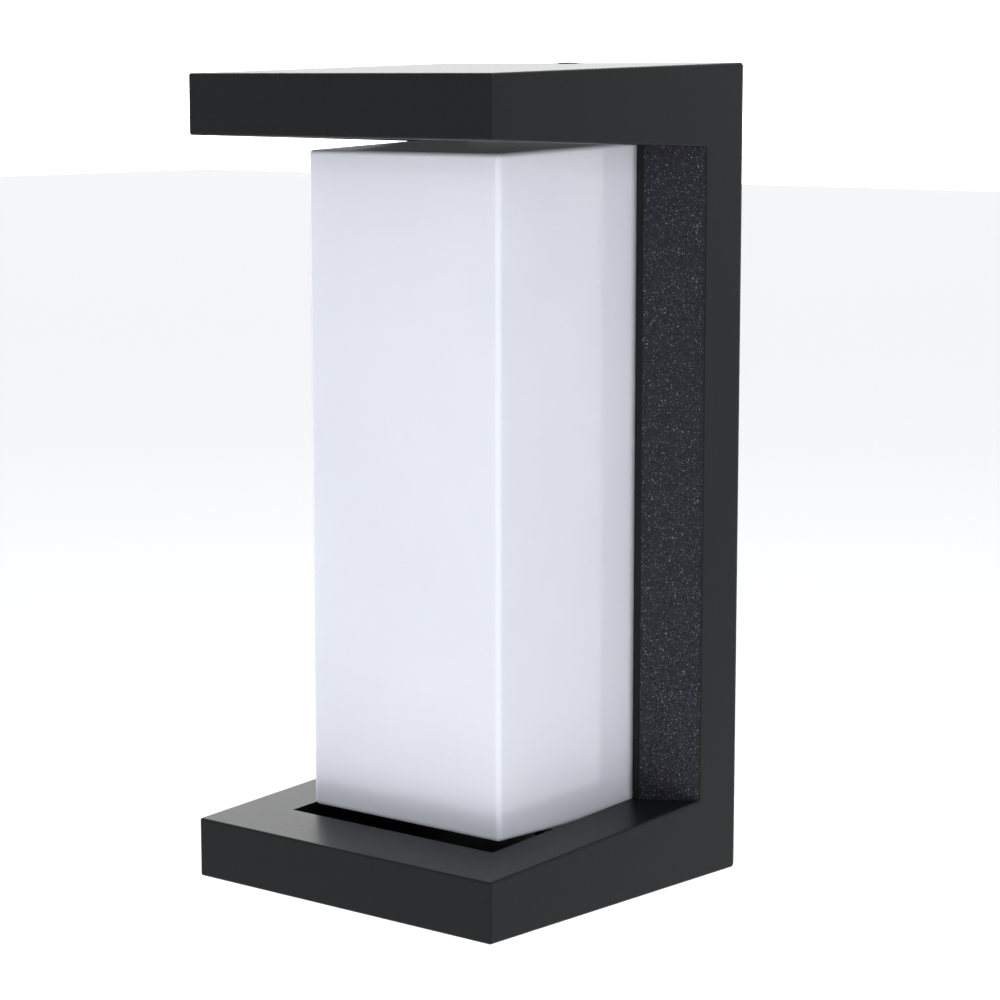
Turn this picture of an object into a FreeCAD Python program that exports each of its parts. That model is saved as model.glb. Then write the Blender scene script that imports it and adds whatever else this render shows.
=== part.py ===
import FreeCAD, Part
import math
import os
import re

import Sketcher

# Outdoor wall lantern: a C-shaped cast frame that hangs on a steel wall bracket, with an opal
# diffuser held between its arms and the light source, driver and terminals behind it.
#
# Millimetres. +Z is up, the wall is the plane Y = 0 and the lantern stands forward of it, in -Y.
# The origin is the middle of the bracket's pair of wall slots. Distances from the wall are called
# depths, and a depth of 20 is the plane Y = -20.

doc = FreeCAD.newDocument("wall_lantern")
V = FreeCAD.Vector

SIZES = {
    # frame casting, which tapers from the wall to the front
    "width": 132.0,
    "depth": 135.0,
    "height": 280.0,
    "side_draft": 2.0,
    "high_draft": 3.6,
    "wall": 2.5,
    "front_wall": 3.0,
    "arm_tip": 23.9,
    "arm_root": 27.9,
    "bar_depth": 22.2,
    "edge_radius": 0.8,
    "plinth_margin": 0.7,
    "plinth_reach": 9.8,
    "tunnel_wall": 3.0,
    "tunnel_rear": 14.0,
    "slot_inset": 25.5,
    "lamp_shift": -1.5,
    # diffuser and its seal
    "lens_inset": 33.0,
    "lens_side": 22.1,
    "lens_end": 24.1,
    "lens_side_draft": 2.9,
    "lens_high_draft": 3.4,
    "lens_wall": 2.0,
    "lens_radius": 1.6,
    "lens_flange": 2.5,
    "window_gap": 0.3,
    "window_rise": 2.3,
    "flange_margin": 3.0,
    "flange_rise": 8.1,
    "seal": 1.5,
    "seal_margin": 1.4,
    # folded tray and its screws
    "tray_sheet": 1.5,
    "tray_side": 10.9,
    "tray_end": 15.9,
    "tray_front": 32.0,
    "tray_radius": 2.0,
    "boss_margin": 4.5,
    "boss_end": 15.9,
    "boss_radius": 3.5,
    "boss_length": 13.2,
    "boss_floor": 2.0,
    # circuit board and light-emitting diodes
    "board_half": 20.0,
    "board_end": 4.0,
    "board_thick": 1.6,
    "board_screw_span": 30.0,
    "board_screw_end": 7.5,
    "chip_wide": 2.8,
    "chip_tall": 3.5,
    "chip_thick": 0.7,
    "chip_span": 14.0,
    "chip_end": 17.0,
    "connector_half": 4.2,
    "connector_deep": 5.2,
    "connector_edge": 5.0,
    "connector_drop": 12.9,
    # driver
    "driver_half": 21.5,
    "driver_high": 50.0,
    "driver_level": 36.0,
    "driver_deep": 18.0,
    "driver_wall": 2.0,
    "driver_lid_thick": 1.5,
    "ear_reach": 29.5,
    "ear_thick": 1.5,
    "ear_high": 5.0,
    "driver_screw_span": 52.0,
    # mains terminal block
    "block_half": 16.0,
    "block_high": 9.0,
    "block_level": -45.0,
    "block_deep": 15.0,
    "block_screw_span": 47.0,
    "block_ear_reach": 28.5,
    "block_ear_high": 4.5,
    "block_ear_thick": 2.0,
    "pole_pitch": 10.0,
    "pole_depth": 23.0,
    "clamp_wide": 6.0,
    "clamp_tall": 14.0,
    "clamp_deep": 7.0,
    "clamp_play": 0.2,
    "clamp_screw_rise": 8.0,
    # earth point
    "earth_across": 25.0,
    "earth_level": -88.0,
    "earth_washer_thick": 0.8,
    "earth_washer_radius": 4.6,
    "ring_thick": 0.8,
    "ring_radius": 5.0,
    "barrel_radius": 1.7,
    "earth_head": 3.8,
    # back plate
    "back_margin": 1.0,
    "back_notch": 17.0,
    "back_notch_gap": 1.0,
    "back_thick": 1.2,
    "back_seal": 2.4,
    "back_seal_margin": 9.0,
    "back_seal_wide": 8.0,
    "back_screw_side": 4.0,
    "back_screw_end": 5.0,
    "cable_level": -70.0,
    "cable_bore": 3.6,
    "cable_hole": 6.5,
    # LED lead entry
    "entry_across": 26.0,
    "entry_end": 9.0,
    "entry_hole": 4.0,
    "entry_bore": 2.8,
    # wall bracket
    "strip_half": 15.0,
    "strip_thick": 2.0,
    "lug_length": 22.0,
    "lug_gap": 0.3,
    "bend_radius": 1.2,
    "wall_slot_rise": 180.0,
    "wall_slot_radius": 2.6,
    "wall_slot_length": 12.0,
    "bracket_cable_hole": 8.0,
    "wall_seal": 1.0,
    # locking screws
    "lock_depth": 12.0,
    "lock_pad_half": 8.0,
    "lock_pad_thick": 2.8,
    "lock_sink": 2.8,
    "lock_sink_radius": 5.4,
    "lock_hole": 2.4,
    "lock_shank": 2.0,
    "lock_length": 10.0,
    "lock_head": 4.0,
    "lock_head_high": 2.6,
    "washer_radius": 4.9,
    "washer_thick": 0.6,
    "nut_radius": 4.0,
    "nut_thick": 3.0,
    "nut_pilot": 2.9,
    "thread_play": 0.05,
    # small screws
    "small_head": 2.75,
    "small_head_high": 2.0,
    "small_shank": 1.5,
    "small_clear": 1.7,
    # leads
    "mains_lead": 1.1,
    "led_lead": 0.75,
}

sheet = doc.addObject("Spreadsheet::Sheet", "dims")
for row, (word, value) in enumerate(SIZES.items(), start=1):
    sheet.set("A%d" % row, word)
    sheet.set("B%d" % row, str(value))
    sheet.setAlias("B%d" % row, word)
doc.recompute()

# Places that several pieces share, as sums of driving sizes.
TOP = "(height / 2)"
INNER_HALF = "(width / 2 - side_draft - wall)"
LENS_HALF = "(width / 2 - lens_side)"
LENS_HIGH = "(height / 2 - lens_end)"
LENS_FRONT = "(depth - lens_inset)"
WINDOW_HALF = "(%s + window_gap)" % LENS_HALF
WINDOW_HIGH = "(%s + window_rise)" % LENS_HIGH
TUNNEL_HALF = "(%s + tunnel_wall)" % WINDOW_HALF
TUNNEL_HIGH = "(%s + tunnel_wall)" % WINDOW_HIGH
PLINTH_DEPTH = "(bar_depth + plinth_reach)"
FLANGE_HALF = "(%s - flange_margin)" % INNER_HALF
FLANGE_HIGH = "(%s + flange_rise)" % LENS_HIGH
BOSS_ACROSS = "(%s - boss_margin)" % FLANGE_HALF
BOSS_RISE = "(%s - boss_end)" % LENS_HIGH
TRAY_HALF = "(%s - tray_side)" % LENS_HALF
TRAY_HIGH = "(%s - tray_end)" % LENS_HIGH
TRAY_REAR = "(tunnel_rear - seal - lens_flange - tray_sheet)"
LENS_SEAT = "(tunnel_rear - seal)"
LENS_REAR = "(tunnel_rear - seal - lens_flange)"
PAN_FLOOR = "(tray_front - tray_sheet)"
BOARD_FACE = "(tray_front + board_thick)"
BACK_FRONT = "(%s - back_seal)" % TRAY_REAR
BACK_REAR = "(%s - back_thick)" % BACK_FRONT
LUG_TOP = "(height / 2 - wall - lock_pad_thick - lug_gap)"
LOCK_SINK = "(height / 2 - high_draft * lock_depth / depth - lock_sink)"
LOCK_SEAT = "(%s + washer_thick + 0.15)" % LOCK_SINK
BOARD_SCREW_RISE = "(%s - board_screw_end)" % TRAY_HIGH
BACK_SCREW_ACROSS = "(%s + back_screw_side)" % TRAY_HALF
BACK_SCREW_RISE = "(%s - back_screw_end)" % TRAY_HIGH
CHIP_RISE = "(%s - chip_end)" % TRAY_HIGH
ENTRY_LEVEL = "(%s - entry_end)" % TRAY_HIGH
CONNECTOR_ACROSS = "(board_half - connector_edge)"
CONNECTOR_LEVEL = "(%s - connector_drop)" % ENTRY_LEVEL
CONNECTOR_DEPTH = "(%s + connector_deep / 2)" % BOARD_FACE
DRIVER_REAR = "(%s - driver_deep)" % PAN_FLOOR
DRIVER_LEADS = "(%s + 7.5)" % DRIVER_REAR
BLOCK_REAR = "(%s - block_deep)" % PAN_FLOOR
WASHER_REAR = "(%s - earth_washer_thick)" % PAN_FLOOR
RING_REAR = "(%s - ring_thick)" % WASHER_REAR
BARREL_DEPTH = "(%s - 0.9)" % RING_REAR

# The grids of repeated screws and holes: width and number across, height and number upwards.
GRIDS = {
    "tray": ("2 * " + BOSS_ACROSS, 2, "2 * " + BOSS_RISE, 3),
    "back": ("2 * " + BACK_SCREW_ACROSS, 2, "2 * " + BACK_SCREW_RISE, 3),
    "board": ("board_screw_span", 2, "2 * " + BOARD_SCREW_RISE, 2),
    "driver": ("driver_screw_span", 2, "0.1", 1),
    "block": ("block_screw_span", 2, "0.1", 1),
}


def bound(text):
    """Turn the size words in an expression into references to the sheet."""
    return re.sub(r"[a-z][a-z_]*", lambda m: "dims." + m.group() if m.group() in SIZES else m.group(), text)


def value(text):
    """The number that an expression gives with the sizes in the sheet."""
    sheet.set("D1", "=" + text)
    sheet.recompute()
    return float(sheet.D1)


def new_body(label):
    body = doc.addObject("PartDesign::Body", label)
    body.Label = label
    return body


def origin_part(body, role):
    return [item for item in body.Origin.OriginFeatures if item.Role == role][0]


def new_sketch(body, role, offsets):
    """A sketch on one of the body's own origin planes, moved by (along x, along y, along its normal)."""
    sketch = body.newObject("Sketcher::SketchObject", body.Name + "_sketch")
    sketch.AttachmentSupport = (origin_part(body, role), [""])
    sketch.MapMode = "FlatFace"
    for axis, text in zip("xyz", offsets):
        if text != "0":
            sketch.setExpression("AttachmentOffset.Base." + axis, bound(text))
    return sketch


def pin_point(sketch, index, spot, x, y):
    """Fix one point of the sketch at two expressions."""
    for kind, text, axis in (("DistanceX", x, -2), ("DistanceY", y, -1)):
        if text == "0":
            sketch.addConstraint(Sketcher.Constraint("PointOnObject", index, spot, axis))
        else:
            number = sketch.addConstraint(Sketcher.Constraint(kind, -1, 1, index, spot, 1.0))
            sketch.setExpression("Constraints[%d]" % number, bound(text))


def draw_polygon(sketch, points):
    count = len(points)
    base = sketch.GeometryCount
    ring = [V(9 * math.cos(2 * math.pi * i / count), 9 * math.sin(2 * math.pi * i / count), 0)
            for i in range(count)]
    for i in range(count):
        sketch.addGeometry(Part.LineSegment(ring[i], ring[(i + 1) % count]))
    for i in range(count):
        sketch.addConstraint(Sketcher.Constraint("Coincident", base + i, 2, base + (i + 1) % count, 1))
    for i, (x, y) in enumerate(points):
        pin_point(sketch, base + i, 1, x, y)


def draw_box(sketch, x, y, half_x, half_y):
    left, right = "%s - (%s)" % (x, half_x), "%s + (%s)" % (x, half_x)
    low, high = "%s - (%s)" % (y, half_y), "%s + (%s)" % (y, half_y)
    draw_polygon(sketch, [(left, low), (right, low), (right, high), (left, high)])


def draw_circle(sketch, x, y, radius):
    index = sketch.addGeometry(Part.Circle(V(1, 1, 0), V(0, 0, 1), 1.0))
    pin_point(sketch, index, 3, x, y)
    number = sketch.addConstraint(Sketcher.Constraint("Radius", index, 1.0))
    sketch.setExpression("Constraints[%d]" % number, bound(radius))


DRAW = {"polygon": draw_polygon, "box": draw_box, "circle": draw_circle}


def extrude(body, kind, role, low, high, shapes):
    """Add (Pad) or remove (Pocket) the drawn shapes between two distances along the plane's normal."""
    sketch = new_sketch(body, role, ("0", "0", low if kind == "Pad" else high))
    for name, *values in shapes:
        DRAW[name](sketch, *values)
    feature = body.newObject("PartDesign::" + kind, body.Name + "_" + kind.lower())
    feature.Profile = sketch
    feature.setExpression("Length", bound("%s - (%s)" % (high, low)))
    feature.Refine = True
    sketch.Visibility = False
    body.Tip = feature
    return feature


def add(body, role, low, high, *shapes):
    return extrude(body, "Pad", role, low, high, shapes)


def cut(body, role, low, high, *shapes):
    return extrude(body, "Pocket", role, low, high, shapes)


def across(body, kind, half, points):
    """Extrude a side-view outline, given as (Y, Z) points, to both sides of the middle plane."""
    return extrude(body, kind, "YZ_Plane", "-(%s)" % half, half, [("polygon", points)])


def loft(body, kind, *sections):
    """Add or remove a straight-sided block between upright rectangles, each (depth, half_x, half_z)."""
    sketches = []
    for depth, half_x, half_z in sections:
        sketch = new_sketch(body, "XZ_Plane", ("0", "0", depth))
        draw_box(sketch, "0", "lamp_shift", half_x, half_z)
        sketch.Visibility = False
        sketches.append(sketch)
    feature = body.newObject("PartDesign::" + kind, body.Name + "_loft")
    feature.Profile = sketches[0]
    feature.Sections = sketches[1:]
    feature.Ruled = True
    body.Tip = feature
    return feature


def turn(body, role, offsets, axis, points):
    """Revolve a half section about one axis of its sketch."""
    sketch = new_sketch(body, role, offsets)
    draw_polygon(sketch, points)
    feature = body.newObject("PartDesign::Revolution", body.Name + "_turned")
    feature.Profile = sketch
    feature.ReferenceAxis = (sketch, [axis])
    feature.Angle = 360
    sketch.Visibility = False
    body.Tip = feature
    return feature


def repeat(body, features, across_span, across_count, rise, rise_count):
    """Repeat features across the width (+X) and up the height (+Z)."""
    pattern = body.newObject("PartDesign::LinearPattern", body.Name + "_pattern")
    pattern.Originals = features
    pattern.Direction = (origin_part(body, "X_Axis"), [""])
    pattern.setExpression("Length", bound(across_span))
    pattern.Occurrences = across_count
    pattern.Direction2 = (origin_part(body, "Z_Axis"), [""])
    pattern.setExpression("Length2", bound(rise))
    pattern.Occurrences2 = rise_count
    body.Tip = pattern
    return pattern


def mirror(body, features, role):
    copy = body.newObject("PartDesign::Mirrored", body.Name + "_mirror")
    copy.Originals = features
    copy.MirrorPlane = (origin_part(body, role), [""])
    body.Tip = copy
    return copy


def round_edges(body, radius, wanted=None):
    """Round every edge of the body, or the straight ones that a test picks by direction and middle."""
    doc.recompute()
    base = body.Tip
    names = []
    for number, edge in enumerate(base.Shape.Edges, start=1):
        straight = edge.Curve.TypeId == "Part::GeomLine"
        if wanted is None or (straight and wanted(edge.Curve.Direction, edge.CenterOfMass)):
            names.append("Edge%d" % number)
    feature = body.newObject("PartDesign::Fillet", body.Name + "_round")
    feature.Base = (base, names)
    feature.setExpression("Radius", bound(radius))
    body.Tip = feature
    return feature


def plus_shape(x, y, reach, half):
    """The twelve corners of a cross recess."""
    steps = [(reach, half), (half, half), (half, reach), (-half, reach), (-half, half), (-reach, half),
             (-reach, -half), (-half, -half), (-half, -reach), (half, -reach), (half, -half), (reach, -half)]
    return [("%s + (%.3f)" % (x, dx), "%s + (%.3f)" % (y, dy)) for dx, dy in steps]


def small_screws(label, x, z, seat, length, towards, grid):
    """Pan-head screws along Y. towards is 1 when the shank points to the front, -1 to the wall."""
    body = new_body(label)
    crown = "%s - (%d * small_head_high)" % (seat, towards)
    bevel = "%s - (%d * (small_head_high - 0.7))" % (seat, towards)
    neck = "%s + (%d * (%s - 0.6))" % (seat, towards, length)
    tip = "%s + (%d * %s)" % (seat, towards, length)
    section = [("-(%s)" % crown, "0"), ("-(%s)" % crown, "small_head - 0.7"), ("-(%s)" % bevel, "small_head"),
               ("-(%s)" % seat, "small_head"), ("-(%s)" % seat, "small_shank"),
               ("-(%s)" % neck, "small_shank"), ("-(%s)" % tip, "small_shank - 0.6"), ("-(%s)" % tip, "0")]
    shank = turn(body, "YZ_Plane", ("0", z, x), "H_Axis", section)
    faces = ["%s - 0.1" % crown, "%s + 1.0" % crown] if towards == 1 else ["%s - 1.0" % crown, "%s + 0.1" % crown]
    recess = cut(body, "XZ_Plane", faces[0], faces[1], ("polygon", plus_shape(x, z, 1.4, 0.3)))
    repeat(body, [shank, recess], *grid)
    return body


def make_frame():
    """One casting: two hollow tapered arms, the back bar, its plinth and the tunnel for the diffuser."""
    body = new_body("frame_body")
    root = "(height / 2 - arm_root)"
    tip = "(height / 2 - arm_tip)"
    top_front = "(height / 2 - high_draft)"
    across(body, "Pad", "width / 2", [
        ("-wall_seal", "-height / 2"), ("-wall_seal", "height / 2"), ("-depth", top_front),
        ("-depth", tip), ("-bar_depth", root), ("-bar_depth", "-" + root), ("-depth", "-" + tip),
        ("-depth", "-" + top_front)])
    narrow = "width / 2 - side_draft * (1 + 1 / depth)"
    cut(body, "XY_Plane", "-height", "height",
        ("polygon", [("width / 2", "0"), (narrow, "-(depth + 1)"), ("width", "-(depth + 1)"), ("width", "0")]),
        ("polygon", [("-width / 2", "0"), ("-(%s)" % narrow, "-(depth + 1)"), ("-width", "-(depth + 1)"),
                     ("-width", "0")]))
    round_edges(body, "edge_radius")
    base = "(width / 2 - side_draft * bar_depth / depth - plinth_margin)"
    add(body, "XY_Plane", "-(%s + wall - 1)" % root, "%s + wall - 1" % root, ("polygon", [
        ("-" + base, "1 - bar_depth"), (base, "1 - bar_depth"), (base, "-bar_depth"),
        (TUNNEL_HALF, "-" + PLINTH_DEPTH), ("-" + TUNNEL_HALF, "-" + PLINTH_DEPTH), ("-" + base, "-bar_depth")]))
    inner = "(height / 2 - wall)"
    inner_front = "(%s - wall)" % top_front
    reach = "front_wall - depth"
    floor = "wall - bar_depth"
    across(body, "Pocket", INNER_HALF, [
        ("1", "-" + inner), ("1", inner), (reach, inner_front), (reach, tip + " + wall"),
        (floor, root + " + wall"), (floor, "-(%s + wall)" % root), (reach, "-(%s + wall)" % tip),
        (reach, "-" + inner_front)])
    nose = "(%s - wall / 2)" % TUNNEL_HALF
    nose_depth = "front_wall - " + PLINTH_DEPTH
    cut(body, "XY_Plane", "-(%s + wall)" % root, "%s + wall" % root, ("polygon", [
        ("-" + INNER_HALF, floor + " + 1"), (INNER_HALF, floor + " + 1"), (INNER_HALF, floor),
        (nose, nose_depth), ("-" + nose, nose_depth), ("-" + INNER_HALF, floor)]))
    slot_front = "(slot_inset - depth)"
    slot_rear = "(wall + 1 - bar_depth)"
    cut(body, "XY_Plane", "-(%s + wall + 1)" % tip, "%s + wall + 1" % tip, ("polygon", [
        ("-" + WINDOW_HALF, slot_front), (WINDOW_HALF, slot_front),
        (WINDOW_HALF, slot_rear), ("-" + WINDOW_HALF, slot_rear)]))
    add(body, "XZ_Plane", "tunnel_rear", PLINTH_DEPTH,
        ("box", "0", "lamp_shift", TUNNEL_HALF, TUNNEL_HIGH), ("box", "0", "lamp_shift", WINDOW_HALF, WINDOW_HIGH))
    left, low = "-" + BOSS_ACROSS, "(lamp_shift - %s)" % BOSS_RISE
    boss = add(body, "XZ_Plane", LENS_SEAT, LENS_SEAT + " + boss_length", ("circle", left, low, "boss_radius"))
    pilot = cut(body, "XZ_Plane", LENS_SEAT, LENS_SEAT + " + boss_length - boss_floor",
                ("circle", left, low, "small_shank + thread_play"))
    repeat(body, [boss, pilot], *GRIDS["tray"])
    middle = "-lock_depth"
    pad = add(body, "XY_Plane", inner + " - lock_pad_thick", inner + " + 0.5",
              ("box", "0", middle, "lock_pad_half", "lock_pad_half"))
    sink = cut(body, "XY_Plane", LOCK_SINK, TOP + " + 1", ("circle", "0", middle, "lock_sink_radius"))
    hole = cut(body, "XY_Plane", inner + " - lock_pad_thick - 1", TOP + " + 1",
               ("circle", "0", middle, "lock_hole"))
    mirror(body, [pad, sink, hole], "XY_Plane")
    return body


def make_wall_gasket():
    body = new_body("wall_gasket")
    add(body, "XZ_Plane", "0", "wall_seal",
        ("box", "0", "0", "width / 2 - edge_radius", TOP + " - edge_radius"),
        ("box", "0", "0", "width / 2 - wall", TOP + " - wall"))
    return body


def make_diffuser():
    """A drafted opal box, open at the back, with a flange that the tray clamps to the frame."""
    body = new_body("diffuser")
    front_half, front_high = "(%s - lens_side_draft)" % LENS_HALF, "(%s - lens_high_draft)" % LENS_HIGH
    loft(body, "AdditiveLoft", (LENS_REAR, LENS_HALF, LENS_HIGH), (LENS_FRONT, front_half, front_high))
    round_edges(body, "lens_radius")
    add(body, "XZ_Plane", LENS_REAR, LENS_SEAT, ("box", "0", "lamp_shift", FLANGE_HALF, FLANGE_HIGH))
    loft(body, "SubtractiveLoft", (LENS_REAR, LENS_HALF + " - lens_wall", LENS_HIGH + " - lens_wall"),
         (LENS_FRONT + " - lens_wall", front_half + " - lens_wall", front_high + " - lens_wall"))
    hole = cut(body, "XZ_Plane", LENS_REAR, LENS_SEAT,
               ("circle", "-" + BOSS_ACROSS, "(lamp_shift - %s)" % BOSS_RISE, "small_clear"))
    repeat(body, [hole], *GRIDS["tray"])
    return body


def make_diffuser_gasket():
    body = new_body("diffuser_gasket")
    add(body, "XZ_Plane", LENS_SEAT, "tunnel_rear",
        ("box", "0", "lamp_shift", TUNNEL_HALF + " + seal_margin", TUNNEL_HIGH + " + seal_margin"),
        ("box", "0", "lamp_shift", WINDOW_HALF, WINDOW_HIGH))
    return body


def make_tray():
    """Folded pan with a flange all round, and the holes for everything that it carries."""
    body = new_body("led_tray")
    add(body, "XZ_Plane", TRAY_REAR, "tray_front", ("box", "0", "lamp_shift", TRAY_HALF, TRAY_HIGH))
    round_edges(body, "tray_radius")
    add(body, "XZ_Plane", TRAY_REAR, LENS_REAR, ("box", "0", "lamp_shift", FLANGE_HALF, FLANGE_HIGH))
    cut(body, "XZ_Plane", TRAY_REAR, PAN_FLOOR,
        ("box", "0", "lamp_shift", TRAY_HALF + " - tray_sheet", TRAY_HIGH + " - tray_sheet"))
    screw = "small_shank + thread_play"
    for grid, x, rise, low, high, radius in (
            ("tray", BOSS_ACROSS, BOSS_RISE, TRAY_REAR, LENS_REAR, "small_clear"),
            ("back", BACK_SCREW_ACROSS, BACK_SCREW_RISE, TRAY_REAR, LENS_REAR, screw),
            ("board", "(board_screw_span / 2)", BOARD_SCREW_RISE, PAN_FLOOR, "tray_front", screw)):
        holes = cut(body, "XZ_Plane", low, high, ("circle", "-" + x, "(lamp_shift - %s)" % rise, radius))
        repeat(body, [holes], *GRIDS[grid])
    cut(body, "XZ_Plane", PAN_FLOOR, "tray_front",
        ("circle", "(-driver_screw_span / 2)", "driver_level", screw),
        ("circle", "(driver_screw_span / 2)", "driver_level", screw),
        ("circle", "(-block_screw_span / 2)", "block_level", screw),
        ("circle", "(block_screw_span / 2)", "block_level", screw),
        ("circle", "earth_across", "earth_level", "lock_shank + thread_play"),
        ("circle", "entry_across", ENTRY_LEVEL, "entry_hole"))
    return body


def make_board():
    body = new_body("led_board")
    add(body, "XZ_Plane", "tray_front", BOARD_FACE, ("box", "0", "lamp_shift", "board_half", TRAY_HIGH + " - board_end"))
    hole = cut(body, "XZ_Plane", "tray_front", BOARD_FACE,
               ("circle", "(-board_screw_span / 2)", "(lamp_shift - %s)" % BOARD_SCREW_RISE, "small_clear"))
    repeat(body, [hole], *GRIDS["board"])
    return body


def make_chips():
    body = new_body("led_chips")
    chip = add(body, "XZ_Plane", BOARD_FACE, BOARD_FACE + " + chip_thick",
               ("box", "(-chip_span / 2)", "(lamp_shift - %s)" % CHIP_RISE, "chip_wide / 2", "chip_tall / 2"))
    repeat(body, [chip], "chip_span", 2, "2 * " + CHIP_RISE, 20)
    return body


def make_connector():
    """Push-in terminal on the board, with its two wire entries in its right-hand side."""
    body = new_body("led_connector")
    add(body, "XZ_Plane", BOARD_FACE, BOARD_FACE + " + connector_deep",
        ("box", CONNECTOR_ACROSS, CONNECTOR_LEVEL, "connector_half", "connector_half"))
    cut(body, "YZ_Plane", CONNECTOR_ACROSS, CONNECTOR_ACROSS + " + connector_half + 0.3",
        ("circle", "-" + CONNECTOR_DEPTH, CONNECTOR_LEVEL + " - 1.3", "led_lead + 0.1"),
        ("circle", "-" + CONNECTOR_DEPTH, CONNECTOR_LEVEL + " + 1.3", "led_lead + 0.1"))
    return body


def make_grommet(label, x, z, front, rear, hole, bore, lip):
    """A rubber ring in a sheet that lies between two depths."""
    body = new_body(label)
    edge = "(%s + %s)" % (hole, lip)
    turn(body, "YZ_Plane", ("0", z, x), "H_Axis", [
        ("-(%s + 1.6)" % front, bore), ("-(%s + 1.6)" % front, edge + " - 0.6"),
        ("-(%s + 0.9)" % front, edge), ("-(%s)" % front, edge), ("-(%s)" % front, hole),
        ("-(%s)" % rear, hole), ("-(%s)" % rear, edge), ("-(%s - 0.9)" % rear, edge),
        ("-(%s - 1.6)" % rear, edge + " - 0.6"), ("-(%s - 1.6)" % rear, bore)])
    return body


def make_driver_case():
    """The driver's deep shell, open towards the wall, with an ear on each side."""
    body = new_body("driver_case")
    box = ("box", "0", "driver_level", "driver_half", "driver_high")
    lid = DRIVER_REAR + " + driver_lid_thick"
    add(body, "XZ_Plane", lid, PAN_FLOOR, box)
    add(body, "XZ_Plane", PAN_FLOOR + " - ear_thick", PAN_FLOOR,
        ("box", "0", "driver_level", "ear_reach", "ear_high"))
    cut(body, "XZ_Plane", lid, PAN_FLOOR + " - driver_wall",
        ("box", "0", "driver_level", "driver_half - driver_wall", "driver_high - driver_wall"))
    cut(body, "XZ_Plane", PAN_FLOOR + " - ear_thick", PAN_FLOOR,
        ("circle", "(-driver_screw_span / 2)", "driver_level", "small_clear"),
        ("circle", "(driver_screw_span / 2)", "driver_level", "small_clear"))
    cut(body, "XY_Plane", "driver_level - driver_high", "driver_level - driver_high + driver_wall",
        ("circle", "-8", "-" + DRIVER_LEADS, "mains_lead + 0.1"),
        ("circle", "0", "-" + DRIVER_LEADS, "mains_lead + 0.1"))
    cut(body, "XY_Plane", "driver_level + driver_high - driver_wall", "driver_level + driver_high",
        ("circle", "2", "-" + DRIVER_LEADS, "led_lead + 0.1"),
        ("circle", "6", "-" + DRIVER_LEADS, "led_lead + 0.1"))
    return body


def make_driver_lid():
    """The driver's flat cover, with a lip that drops inside the case."""
    body = new_body("driver_lid")
    seam = DRIVER_REAR + " + driver_lid_thick"
    add(body, "XZ_Plane", DRIVER_REAR, seam, ("box", "0", "driver_level", "driver_half", "driver_high"))
    inner = ("driver_half - driver_wall - 0.1", "driver_high - driver_wall - 0.1")
    add(body, "XZ_Plane", seam, seam + " + 2",
        ("box", "0", "driver_level", inner[0], inner[1]),
        ("box", "0", "driver_level", inner[0] + " - 1.2", inner[1] + " - 1.2"))
    return body


def make_terminal_block():
    """Three-pole moulding: a channel for each clamp, and a screwdriver well over each screw."""
    body = new_body("terminal_block")
    add(body, "XZ_Plane", BLOCK_REAR, PAN_FLOOR, ("box", "0", "block_level", "block_half", "block_high"))
    add(body, "XZ_Plane", PAN_FLOOR + " - block_ear_thick", PAN_FLOOR,
        ("box", "0", "block_level", "block_ear_reach", "block_ear_high"))
    cut(body, "XZ_Plane", PAN_FLOOR + " - block_ear_thick", PAN_FLOOR,
        ("circle", "(-block_screw_span / 2)", "block_level", "small_clear"),
        ("circle", "(block_screw_span / 2)", "block_level", "small_clear"))
    half = "clamp_wide / 2 + clamp_play"
    deep = "clamp_deep / 2 + clamp_play"
    low, high = "block_level - block_high", "block_level + block_high"
    channel = cut(body, "XY_Plane", low, high, ("box", "(-pole_pitch)", "(-pole_depth)", half, deep))
    repeat(body, [channel], "2 * pole_pitch", 3, "0.1", 1)
    well = cut(body, "XZ_Plane", BLOCK_REAR, "pole_depth - clamp_deep / 2 + 0.1",
               ("circle", "(-pole_pitch)", "(block_level - clamp_screw_rise / 2)", "1.9"))
    repeat(body, [well], "2 * pole_pitch", 3, "clamp_screw_rise", 2)
    return body


def make_terminal_clamps():
    body = new_body("terminal_clamps")
    half, deep = "clamp_wide / 2", "clamp_deep / 2"
    low, high = "block_level - clamp_tall / 2", "block_level + clamp_tall / 2"
    block = add(body, "XY_Plane", low, high, ("box", "(-pole_pitch)", "(-pole_depth)", half, deep),
                ("circle", "(-pole_pitch)", "(-pole_depth)", "mains_lead + 0.15"))
    threads = cut(body, "XZ_Plane", "pole_depth - clamp_deep / 2", "pole_depth",
                  ("circle", "(-pole_pitch)", "(block_level - clamp_screw_rise / 2)", "1.25"),
                  ("circle", "(-pole_pitch)", "(block_level + clamp_screw_rise / 2)", "1.25"))
    repeat(body, [block, threads], "2 * pole_pitch", 3, "0.1", 1)
    return body


def make_clamp_screws():
    body = new_body("clamp_screws")
    head = "(pole_depth - clamp_deep / 2 - 1.6)"
    screw = turn(body, "YZ_Plane", ("0", "block_level - clamp_screw_rise / 2", "-pole_pitch"), "H_Axis", [
        ("-" + head, "0"), ("-" + head, "1.7"), ("-(%s + 1.5)" % head, "1.7"), ("-(%s + 1.5)" % head, "1.2"),
        ("-(pole_depth - mains_lead - 0.2)", "1.2"), ("-(pole_depth - mains_lead - 0.2)", "0")])
    slot = cut(body, "XZ_Plane", head + " - 0.1", head + " + 0.7",
               ("box", "(-pole_pitch)", "(block_level - clamp_screw_rise / 2)", "1.8", "0.25"))
    repeat(body, [screw, slot], "2 * pole_pitch", 3, "clamp_screw_rise", 2)
    return body


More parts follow.
